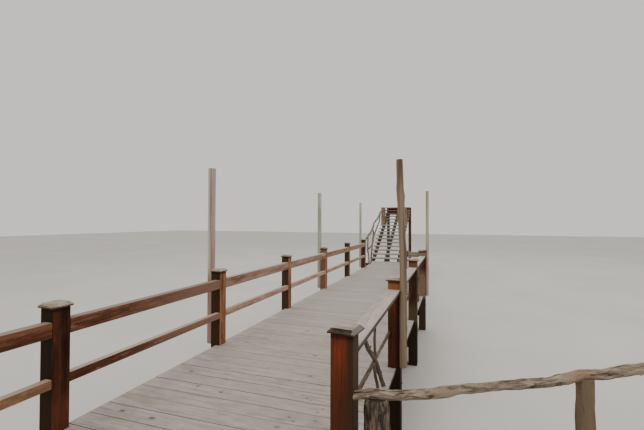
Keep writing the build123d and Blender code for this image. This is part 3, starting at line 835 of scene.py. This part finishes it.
def cap_row(name, node, boxes, size, finish, turn=STRAIGHT, saw_x=None, sawn=(), first=None):
    """A cap for each post. The first may have its own finish, size and turn."""
    bm = empty_piece()
    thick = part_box("caps_left")[1].z - left_posts[0][1].z
    for n, box in enumerate(boxes):
        if first and n == 1:
            show(bm, name + "_first", first)
            bm = empty_piece()
        wide, high, shift, way = size, thick, Vector(), turn
        if first and n == 0:
            wide, high = FIRST_CAP_SIZE, FIRST_CAP_THICK
            shift, way = FIRST_CAP_SHIFT, FIRST_CAP_TURN
        cap = timber(wide, wide, high, some_tone(-.12, .12), CAP_EASE, CAP_BEVEL)
        spot = middle(box).xy.to_3d() + shift + Vector((0, 0, box[1].z + high / 2))
        bmesh.ops.transform(cap, matrix=at(spot, way), verts=cap.verts)
        if n in sawn:
            saw_side(cap, saw_x, spot.x)
        add(bm, cap)
    show(bm, name, finish, [node])


cap_row("bevelled_caps_left", "caps_left", left_posts, SMALL_CAP, WASHED_CAPS,
        saw_x=left_posts[0][0].x, sawn=(2, 4, 6))
cap_row("bevelled_caps_right", "caps_right", right_posts, LARGE_CAP, CAPS,
        saw_x=right_posts[0][1].x, sawn=(1, 3), first=FIRST_CAP)
cap_row("bevelled_caps_narrow", "caps_narrow", slant_posts, SMALL_CAP, CAPS, slant)


# Rails. How far the left ones, by finish, go below and above their solids
TOP_REACH = ((0, .003), (0, .004), (.007, .009))
LOW_REACH = ((.014, -.010), (.013, -.004), (.009, .003))


def side_rails(name, node, ease, finishes, reach):
    """Squared rails between the left posts: the first, the second, and the washed rest."""
    for n, (a, b) in enumerate(zip(left_posts[:-1], left_posts[1:])):
        if n < 3:
            bm = empty_piece()
            low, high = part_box(node)
            low.z -= reach[n][0]
            high.z += reach[n][1]
        rail = timber(b[0].y - a[1].y, high.x - low.x, high.z - low.z,
                      some_tone(-.1, .1), ease)
        add(bm, rail, at(((low.x + high.x) / 2, (a[1].y + b[0].y) / 2,
                          (low.z + high.z) / 2), ALONG_Y))
        if n < 2:
            show(bm, "%s_%d" % (name, n + 1), finishes[n])
    show(bm, name + "_washed", finishes[2], [node])


side_rails("top_rails_left", "rails_top_left", .006, (NEAR_RAIL, RAIL_STAIN, WASHED_RAIL),
           TOP_REACH)
side_rails("low_rails_left", "rails_low_left", .005, (BLEACHED, LOW_STAIN, WASHED_LOW),
           LOW_REACH)


def flat_rails(name, node, posts, turn):
    """Boards laid flat from post to post, over the branches."""
    low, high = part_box(node)
    bm = empty_piece()
    for a, b in zip(posts[:-1], posts[1:]):
        run = middle(b) - middle(a)
        board = timber(run.xy.length - post_width, post_width, high.z - low.z,
                       some_tone(.07, .16), ease=.003)
        spot = (middle(a) + middle(b)) / 2
        spot.z = (low.z + high.z) / 2
        add(bm, board, at(spot, turn @ ALONG_Y))
    show(bm, name, RAIL_BOARDS, [node])


flat_rails("flat_rail_boards_right", "rails_flat_right", right_posts, STRAIGHT)
flat_rails("flat_rail_boards_narrow", "rails_flat_narrow", slant_posts, slant)


def return_rail():
    low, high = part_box("rail_return")
    body = timber(high.x - low.x, high.y - low.y, high.z - low.z, .05)
    show_one(body, at((low + high) / 2), "return_rail_timber", GREEN_RAIL,
             "rail_return")


return_rail()


# Light poles. The round one's shape: share of its height, of its lean, of its radius
ROUND_SHAPE = ((0, 0, 1), (.47, 0, 1), (.62, .27, .98), (.82, .7, 1.06), (1, 1, .93))
ROUND_LEAN = .042
ROUND_R = .041
FLAT_SHARE = math.cos(math.pi / 8)     # where an eight-sided log's flats lie, of its radius


def square_pole(node, finish, swell):
    """A square pole, thicker than its solid by the swell."""
    low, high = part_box(node)
    low.x -= swell
    low.y -= swell / 2
    high.y += swell / 2
    body = timber(high.z - low.z, high.x - low.x, high.y - low.y, some_tone(-.05, .08))
    show_one(body, at((low + high) / 2, UPRIGHT), node + "_timber", finish, node)


def round_pole():
    low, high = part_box("light_pole_round")
    foot = Vector((inner_right + post_width + ROUND_R * FLAT_SHARE, (low.y + high.y) / 2,
                   low.z))
    body = stick([(foot + Vector((-ROUND_LEAN * s, 0, (high.z - low.z) * t)), ROUND_R * r)
                  for t, s, r in ROUND_SHAPE], .08, sides=16, rough=.05, bulges=4)
    show_one(body, STRAIGHT, "round_pole_log", TAN_POLES, "light_pole_round", 50)


def thin_pole():
    low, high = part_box("light_pole_thin")
    foot = ((low + high) / 2).xy.to_3d()
    body = stick([(foot + Vector((0, 0, low.z + (high.z - low.z) * t)),
                   (high.x - low.x) / 2) for t in (0, .3, .7, 1)],
                 .1, sides=14, rough=.03, tone=-.05)
    show_one(body, STRAIGHT, "thin_pole_log", PALE_POLE, "light_pole_thin", 50)


square_pole("light_pole_left_1", POLES, swell=.008)
square_pole("light_pole_left_2", GREEN_POLES, swell=.012)
square_pole("light_pole_left_3", GREEN_POLES, swell=.012)
round_pole()
thin_pole()


# Crooked branches under the flat rails: share of the bay, of the height, of the radius
PANELS = (
    (((0, .455, .95), (.25, .464, .9), (.47, .454, .88), (.55, .46, .88), (.7, .456, .85),
      (.88, .456, .86), (1, .462, .92)),
     ((.25, 1, .95), (.34, .82, 1.), (.385, .725, 1.), (.466, .597, 1.05), (.548, .468, 1.1),
      (.638, .27, 1.1), (.726, .07, 1.15), (.76, 0, 1.15)),
     ((.543, 1, .6), (.538, .79, .62), (.53, .66, .64), (.548, .48, .67), (.522, .425, .68),
      (.548, .31, .72), (.6, .15, .76), (.625, 0, .8))),
    (((0, .43, .95), (.2, .47, .95), (.46, .5, .9), (.75, .475, .85), (1, .508, .8)),
     ((.19, 1, .9), (.3, .8, .95), (.37, .68, 1.), (.46, .5, 1.), (.57, .34, 1.05),
      (.66, .12, 1.1), (.69, 0, 1.15)),
     ((.5, 1, .7), (.485, .8, .72), (.46, .5, .75), (.475, .3, .78), (.44, .12, .8),
      (.45, 0, .82))),
    (((0, .5, .95), (.24, .47, .95), (.52, .48, .9), (.8, .455, .85), (1, .487, .8)),
     ((.27, 1, .9), (.33, .86, .95), (.45, .62, 1.), (.52, .48, 1.), (.6, .3, 1.05),
      (.71, .13, 1.1), (.75, 0, 1.15)),
     ((.705, 1, .75), (.7, .75, .8), (.69, .465, .85), (.695, .33, .85), (.68, .15, .88),
      (.675, 0, .9))),
)
BRANCH_R = .020
BRANCH_SET = .032      # how far behind the posts' inner faces the branches stand
BRANCH_DRIFT = .020    # how far the level branch moves across
bay_clear = right_posts[1][0].y - right_posts[0][1].y
branch_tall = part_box("rails_flat_right")[0].z - deck_top


def branch_panel(name, node, panel, post, turn):
    """A level, a falling and an upright branch that cross between two posts."""
    bm = empty_piece()
    corner = turn @ Vector((BRANCH_SET - post_width / 2, post_width / 2, 0))
    foot = middle(post).xy.to_3d() + corner + Vector((0, 0, deck_top))
    for n, bar in enumerate(panel):
        drift = BRANCH_DRIFT if n == 0 else 0
        body = stick([(Vector((-drift * t, bay_clear * t, branch_tall * z)), BRANCH_R * r)
                      for t, z, r in bar], .035, sides=10, rough=.16,
                     tone=some_tone(-.1, .15), bulges=4, stubs=2)
        add(bm, body, at(foot, turn))
    show(bm, name, TWIGS, [node], 60)


for n in range(3):
    branch_panel("branch_infill_right_%d" % (n + 1), "branches_right_%d" % (n + 1),
                 PANELS[n], right_posts[n], STRAIGHT)
    branch_panel("branch_infill_narrow_%d" % (n + 1), "branches_narrow_%d" % (n + 1),
                 PANELS[(n + 1) % 3], slant_posts[n], slant)


# Deck boards, laid a little out of square and notched round the posts
BOARD_PITCH = .1861
BOARD_SKEW = .0285     # how much further on a board lies for each metre to the right
JOINT_AT = 2.281       # a joint that the photo shows, on from the plan's zero
NOTCH_ROOM = .003
SPARE_LEFT, SPARE_RIGHT = .4, .3
BOARDS_ON = 89         # boards counted on from that joint, more than the walk needs
LIKELY_GAPS = (.0015, .002, .003, .0045, .006)
NEAR_GAPS = {0: .0055, 1: .0085, 2: .003, 3: .005, 4: .006, 5: .0078, 6: .0082}
RIM_EASE = .0016
SETTLE = .0015
stair_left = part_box("stair_treads")[0].x
landing_y = deck_far - LANDING
rail_line = middle(slant_posts[0]) - slant_out * post_width / 2
post_holes = [(middle(box), STRAIGHT) for box in left_posts + right_posts] \
    + [(middle(box), slant) for box in slant_posts]


def saw(bm, spot, out, faces=None, clear=False):
    """Cuts a flat outline along a line, and drops what is beyond it if asked."""
    chosen = bm.faces[:] if faces is None else faces
    parts = set(chosen)
    for f in chosen:
        parts.update(f.edges)
        parts.update(f.verts)
    bmesh.ops.bisect_plane(bm, geom=list(parts), plane_co=spot, plane_no=out,
                           clear_outer=clear)


def notch(bm, spot, turn):
    """Saws a square hole for a post."""
    half = post_width / 2 + NOTCH_ROOM
    back = turn.inverted()

    def inside(f, ways):
        off = back @ (f.calc_center_median() - spot)
        return all(abs(off[k]) < half for k in ways)

    for ways, sides in (((), ((1, 0, 0), (-1, 0, 0))), ((0,), ((0, 1, 0), (0, -1, 0)))):
        for side in sides:
            out = turn @ Vector(side)
            saw(bm, spot + out * half, out, [f for f in bm.faces if inside(f, ways)])
    gone = [f for f in bm.faces if inside(f, (0, 1))]
    bmesh.ops.delete(bm, geom=gone, context="FACES")


def deck_board(y, near_gap, far_gap):
    """One board whose near joint meets the left posts' line at y, or None off the deck."""
    bm = bmesh.new()
    x0, x1 = inner_left - SPARE_LEFT, inner_right + SPARE_RIGHT
    outline = []
    for x, edge in ((x0, near_gap / 2), (x1, near_gap / 2), (x1, BOARD_PITCH - far_gap / 2),
                    (x0, BOARD_PITCH - far_gap / 2)):
        outline.append(bm.verts.new((x, y + edge + BOARD_SKEW * (x - inner_left), 0)))
    bm.faces.new(outline)
    heart = y + BOARD_PITCH / 2
    left = stair_left if heart > landing_y else inner_left - lip_left
    saw(bm, (left, 0, 0), (-1, 0, 0), clear=True)
    saw(bm, (0, deck_near, 0), (0, -1, 0), clear=True)
    saw(bm, (0, deck_far, 0), (0, 1, 0), clear=True)
    if heart + BOARD_SKEW * (inner_right - inner_left) > split_y:
        saw(bm, rail_line + slant_out * lip_right, slant_out, clear=True)
    else:
        saw(bm, (inner_right + lip_right, 0, 0), (1, 0, 0), clear=True)
    if not bm.faces:
        bm.free()
        return None
    for centre, turn in post_holes:
        spot = Vector((centre.x, centre.y, 0))
        if abs(spot.y - heart - BOARD_SKEW * (spot.x - inner_left)) < BOARD_PITCH:
            notch(bm, spot, turn)
    return bm


def thicken(bm, y):
    """Gives a sawn outline its thickness, eased top rims, grain and its own level."""
    made = bmesh.ops.extrude_face_region(bm, geom=bm.faces[:])["geom"]
    lower = [g for g in made if isinstance(g, bmesh.types.BMVert)]
    bmesh.ops.translate(bm, vec=(0, 0, -board_thick), verts=lower)
    bmesh.ops.recalc_face_normals(bm, faces=bm.faces)
    bm.normal_update()
    rims = [e for e in bm.edges if all(v.co.z > -.001 for v in e.verts)
            and any(abs(f.normal.z) < .5 for f in e.link_faces)]
    bevel(bm, rims, RIM_EASE)
    centre = Vector(((inner_left + inner_right) / 2, y, 0))
    bmesh.ops.translate(bm, vec=-centre, verts=bm.verts)
    bmesh.ops.transform(bm, matrix=Matrix.Rotation(-math.atan(BOARD_SKEW), 4, "Z"),
                        verts=bm.verts)
    stamp(bm, some_tone(-.06, .05))
    centre.z = deck_top - luck.uniform(0, SETTLE)
    return bm, at(centre, Matrix.Rotation(math.atan(BOARD_SKEW), 4, "Z"))


def lay_boards():
    bm = empty_piece()
    first = -math.ceil((plan_y + JOINT_AT - deck_near) / BOARD_PITCH + 1)
    gaps = {n: luck.choice(LIKELY_GAPS) for n in range(first, BOARDS_ON + 1)}
    gaps.update(NEAR_GAPS)
    for n in range(first, BOARDS_ON):
        y = plan_y + JOINT_AT + n * BOARD_PITCH
        board = deck_board(y, gaps[n], gaps[n + 1])
        if board is not None:
            middle_y = y + BOARD_PITCH / 2 + BOARD_SKEW * (inner_right - inner_left) / 2
            add(bm, *thicken(board, middle_y))
    show(bm, "deck_boards", BOARDS, ["deck_wide", "deck_narrow"])


lay_boards()


# Stair: two boards to a tread, newels and crooked log rails
RISERS = 16
tread_low, tread_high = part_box("stair_treads")
stair_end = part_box("stair_header")[0].y
rise = (tread_high.z - deck_top) / RISERS
going = (stair_end - deck_far) / RISERS
TREAD_T = .051
TREAD_GAP, TREAD_CLEAR = .005, .001    # between a tread's two boards, and behind them
RED_TREAD = 12                         # the first of the redder treads, counted from 0


def tread_boards():
    """Grey treads, and redder ones near the top."""
    bm = empty_piece()
    nosing = deck_far - tread_low.y
    wide = (going + nosing - TREAD_CLEAR - TREAD_GAP) / 2
    for n in range(RISERS):
        if n == RED_TREAD:
            show(bm, "tread_boards_low", TREADS, ["stair_treads"])
            bm = empty_piece()
        for k in range(2):
            body = timber(tread_high.x - tread_low.x, wide, TREAD_T, some_tone(-.12, .1))
            y = deck_far + n * going - nosing + wide / 2 + k * (wide + TREAD_GAP)
            add(bm, body, at(((tread_low.x + tread_high.x) / 2, y,
                              deck_top + (n + 1) * rise - TREAD_T / 2)))
    show(bm, "tread_boards_high", RED_TREADS)


def newel_timbers():
    low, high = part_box("stair_newels")
    side = high.y - low.y
    bm = empty_piece()
    for x in (low.x + side / 2, high.x - side / 2):
        body = timber(high.z - low.z, side, side, some_tone(0, .1), ease=.007)
        add(bm, body, at((x, (low.y + high.y) / 2, (low.z + high.z) / 2), UPRIGHT))
    show(bm, "newel_timbers", NEWELS, ["stair_newels"])


tread_boards()
newel_timbers()

# The rails' logs: share of the run, of the height, of the radius
HAND = ((0, .415, 1.), (.12, .46, 1.), (.26, .517, 1.04), (.39, .604, 1.), (.455, .668, .96),
        (.48, .706, .94), (.582, .75, .95), (.68, .795, .92), (.782, .86, .9),
        (.862, .925, .9), (1, .985, .88))
LOW = ((.155, .257, 1.), (.26, .278, 1.), (.352, .304, 1.04), (.415, .366, 1.),
       (.447, .448, 1.06), (.503, .494, 1.), (.57, .556, .95), (.655, .628, .95),
       (.73, .687, .92), (.785, .733, .9), (.825, .82, .88), (.855, .915, .84))
STAKE_A = ((.213, -.07, 1.), (.189, .145, 1.), (.157, .257, 1.), (.162, .38, 1.),
           (.164, .46, .95))
STAKE_B = ((.334, 0, 1.3), (.364, .218, 1.25), (.415, .38, 1.3), (.46, .511, 1.3),
           (.44, .56, 1.1), (.42, .615, 1.))
HAND_FAR = ((0, .405, 1.), (.2, .56, 1.), (.45, .72, .97), (.75, .86, .93), (1, .965, .88))
LOW_FAR = ((0, .17, 1.), (.22, .36, 1.), (.5, .56, .97), (.78, .71, .93), (1, .82, .88))
HAND_R, LOW_LOG_R, STAKE_R = .042, .034, .028
RAIL_END = .745        # the rails' upper end, over the newels' feet
newel_low, newel_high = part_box("stair_newels")
newel = newel_high.y - newel_low.y
rail_top_z = newel_low.z - deck_top + RAIL_END


def stair_logs(name, node, start, logs):
    """Logs between the last post and the newel, each from one x to another."""
    bm = empty_piece()
    run = newel_low.y - start.y
    for line, radius, from_x, to_x in logs:
        body = stick([((from_x + (to_x - from_x) * t, start.y + run * t,
                        deck_top + rail_top_z * z), radius * s) for t, z, s in line],
                     .06, rough=.12, tone=some_tone(-.05, .1), bulges=6, stubs=1)
        add(bm, body)
    show(bm, name, LOGS, [node], 60)


left_start = Vector((inner_left - post_width / 2, left_posts[-1][1].y))
left_end_x = newel_low.x + newel / 3
stake_x = inner_left - lip_left - STAKE_R * FLAT_SHARE
right_start = middle(slant_posts[-1]) + slant @ Vector((0, post_width / 2, 0))
right_end_x = newel_high.x - newel / 2
stair_logs("stair_logs_left", "stair_rail_left", left_start,
           ((HAND, HAND_R, left_start.x, left_end_x),
            (LOW, LOW_LOG_R, left_start.x, left_end_x),
            (STAKE_A, STAKE_R, stake_x, stake_x), (STAKE_B, STAKE_R, stake_x, left_end_x)))
stair_logs("stair_logs_right", "stair_rail_right", right_start,
           ((HAND_FAR, HAND_R, right_start.x, right_end_x),
            (LOW_FAR, LOW_LOG_R, right_start.x, right_end_x)))


# Rough log rail at the entry: share of its length, of its height, of its radius. Uprights
# have a place along it, a height, and radii by share of that height
ENTRY_LINE = ((-.005, 1.01, .78), (.042, 1.023, .86), (.085, 1.012, .84), (.125, 1.017, .86),
              (.163, 1.025, .88), (.21, 1.055, .88), (.274, 1.082, .8), (.34, 1.109, .79),
              (.379, 1.122, .83), (.435, 1.143, .77), (.47, 1.172, .87), (.506, 1.21, .87),
              (.53, 1.214, .81), (.56, 1.213, .86), (.603, 1.25, .9), (.645, 1.272, 1.),
              (.73, 1.282, .98), (.815, 1.285, 1.), (.9, 1.27, .93), (1, 1.275, .97))
ENTRY_STUMP = (.051, .93, ((0, .084), (.4, .082), (.8, .084), (.96, .082), (1, .072)))
ENTRY_POST = ((0, .053), (.4, .052), (.8, .052), (1, .05))
ENTRY_POSTS = ((.5145, 1.12, ENTRY_POST), (.985, 1.2, ENTRY_POST))
ENTRY_ANGLE = math.radians(19.73)
ENTRY_LEN, ENTRY_SHIFT, ENTRY_R, ENTRY_H, SADDLE = 2.64, .04, .036, .62, .04


def entry_spot(share, height):
    start = Vector((right_posts[0][1].x, middle(right_posts[0]).y - ENTRY_SHIFT, 0))
    way = Vector((math.cos(ENTRY_ANGLE), math.sin(ENTRY_ANGLE), 0))
    return start + way * ENTRY_LEN * share + Vector((0, 0, height))


def entry_upright(share, top, shape):
    """A log that stands on the ground and reaches up around the rail."""
    high = deck_top + ENTRY_H * top + SADDLE
    return stick([(entry_spot(share, high * t), radius) for t, radius in shape],
                 .05, sides=16, bulges=5, swell=.2)


def entry_rail():
    log = stick([(entry_spot(s, deck_top + ENTRY_H * z), ENTRY_R * r)
                 for s, z, r in ENTRY_LINE],
                .022, sides=14, rough=.2, bulges=14, stubs=3, swell=.16)
    show_one(log, STRAIGHT, "entry_log_rough", RAIL_LOG, "entry_log", 60)
    show_one(entry_upright(*ENTRY_STUMP), STRAIGHT, "entry_stump_cracked", STUMP,
             "entry_stump", 50)
    posts = empty_piece()
    for post in ENTRY_POSTS:
        add(posts, entry_upright(*post))
    show(posts, "entry_post_logs", POST_LOGS, ["entry_posts"], 50)


entry_rail()


# Nails in the boards, and bolts through the posts into the rim joists
NAIL_R, NAIL_H = .0027, .0008
NAIL_EDGE, NAIL_SWAY, NAIL_SINK = .035, .006, .0004
NAIL_CLEAR, LIP_CLEAR = .1, .02        # room where the deck steps in, and along its edge
JOIST_HALF = .0225
SECOND_JOIST = .3                      # its place across the narrow part of the deck
BOLT_R, BOLT_H, WASHER_R, WASHER_H = .009, .007, .019, .003
BOLTS = ((-.03, .09), (.03, .2))       # across the post, and down from the deck


def joist_lines():
    low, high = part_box("joists_inner")
    rims = [middle(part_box("joist_rim_left")).x, middle(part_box("joist_rim_right")).x]
    first, last = low.x + JOIST_HALF, high.x - JOIST_HALF
    second = first + (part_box("deck_narrow")[1].x - inner_left) * SECOND_JOIST
    return [rims[0], first, second, (second + last) / 2, last, rims[1]]


def board_nails():
    bm = bmesh.new()
    y = plan_y + JOINT_AT
    y -= math.floor((y - deck_near) / BOARD_PITCH - 1) * BOARD_PITCH
    while y < deck_far - BOARD_PITCH * 1.5:
        for x in joist_lines():
            for edge in (NAIL_EDGE, BOARD_PITCH - NAIL_EDGE):
                spot = Vector((x + luck.uniform(-NAIL_SWAY, NAIL_SWAY),
                               y + edge + BOARD_SKEW * (x - inner_left)
                               + luck.uniform(-NAIL_SWAY, NAIL_SWAY), deck_top - NAIL_SINK))
                off = slant_out.dot(spot - rail_line)
                if spot.y < split_y - NAIL_CLEAR or off < -LIP_CLEAR:
                    add(bm, round_head(NAIL_R, NAIL_H), at(spot))
        y += BOARD_PITCH
    show(bm, "board_nails", NAILS)


def post_bolts():
    bm = bmesh.new()
    sides = [(box, STRAIGHT, -1) for box in left_posts]
    sides += [(box, STRAIGHT, 1) for box in right_posts]
    sides += [(box, slant, 1) for box in slant_posts[1:]]
    for box, turn, way in sides:
        for across, down in BOLTS:
            face = turn @ Vector((way * post_width / 2, across, 0))
            spot = middle(box).xy.to_3d() + face + Vector((0, 0, deck_top - down))
            seat = at(spot, turn @ Matrix.Rotation(way * math.pi / 2, 4, "Y"))
            add(bm, round_head(WASHER_R, WASHER_H, 12), seat)
            add(bm, round_head(BOLT_R, BOLT_H), seat @ at((0, 0, WASHER_H)))
    show(bm, "post_bolts", STEEL)


board_nails()
post_bolts()


# Framing keeps its solids and takes a finish with the grain the right way
for finish, nodes in (
        (dark_framing("framing_across", "X"),
         ("beams", "joist_ends", "joist_step", "stair_header")),
        (dark_framing("framing_along", "Y"),
         ("joist_rim_left", "joist_rim_right", "joist_rim_narrow", "joists_inner")),
        (dark_framing("framing_upright", "Z"), ("pier_far", "stair_header_posts")),
        (framing("stringer_wood", "Y", (70, 58, 48), (98, 86, 74),
                 (128, 116, 104)), ("stair_stringers",))):
    for node in nodes:
        bpy.data.objects[node].material_slots[0].material = finish


# Studio: pale floor, soft light from above, and the photo's point of view
FLOOR_SIZE = 60
SUNLIT = (1, .965, .92)
SKY_STRENGTH = .85
CAMERA_YAW, CAMERA_PITCH, CAMERA_ROLL = 19.73, .90, .19
CAMERA_RIGHT, CAMERA_UP = 2.886, 1.654
SENSOR = 36
FOCAL_SHARE = 360.8 / 644


def lay_floor():
    bm = bmesh.new()
    bmesh.ops.create_grid(bm, x_segments=1, y_segments=1, size=FLOOR_SIZE)
    floor = stand("studio_floor", make_mesh(bm, "studio_floor", pale_floor()))
    floor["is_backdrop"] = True


def hang_light(name, energy, size, spot, aim):
    lamp = bpy.data.lights.new(name, "AREA")
    lamp.shape = "RECTANGLE"
    lamp.energy = energy
    lamp.color = SUNLIT
    lamp.size, lamp.size_y = size
    holder = stand(name, lamp)
    holder.location = spot
    holder.rotation_euler = (Vector(aim) - Vector(spot)).to_track_quat("-Z", "Y").to_euler()


def pale_sky():
    world = bpy.data.worlds.new("pale_sky")
    bpy.context.scene.world = world
    world.use_nodes = True
    sky = world.node_tree.nodes["Background"]
    sky.inputs["Color"].default_value = (*SUNLIT, 1)
    sky.inputs["Strength"].default_value = SKY_STRENGTH


def stand_camera():
    data = bpy.data.cameras.new("camera")
    data.sensor_width = SENSOR
    data.lens = SENSOR * FOCAL_SHARE
    camera = stand("camera", data)
    camera.location = (inner_left + CAMERA_RIGHT, plan_y, deck_top + CAMERA_UP)
    turn = (Matrix.Rotation(math.radians(CAMERA_YAW), 3, "Z")
            @ Matrix.Rotation(math.radians(90 + CAMERA_PITCH), 3, "X")
            @ Matrix.Rotation(math.radians(CAMERA_ROLL), 3, "Z"))
    camera.rotation_euler = turn.to_euler()
    bpy.context.scene.camera = camera


lay_floor()
pale_sky()
hang_light("soft_overhead", energy=1300, size=(24, 34), spot=(0, 0, 13), aim=(0, 0, 0))
stand_camera()

[[list(corner) for corner in box] for box in (cad_box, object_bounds())]
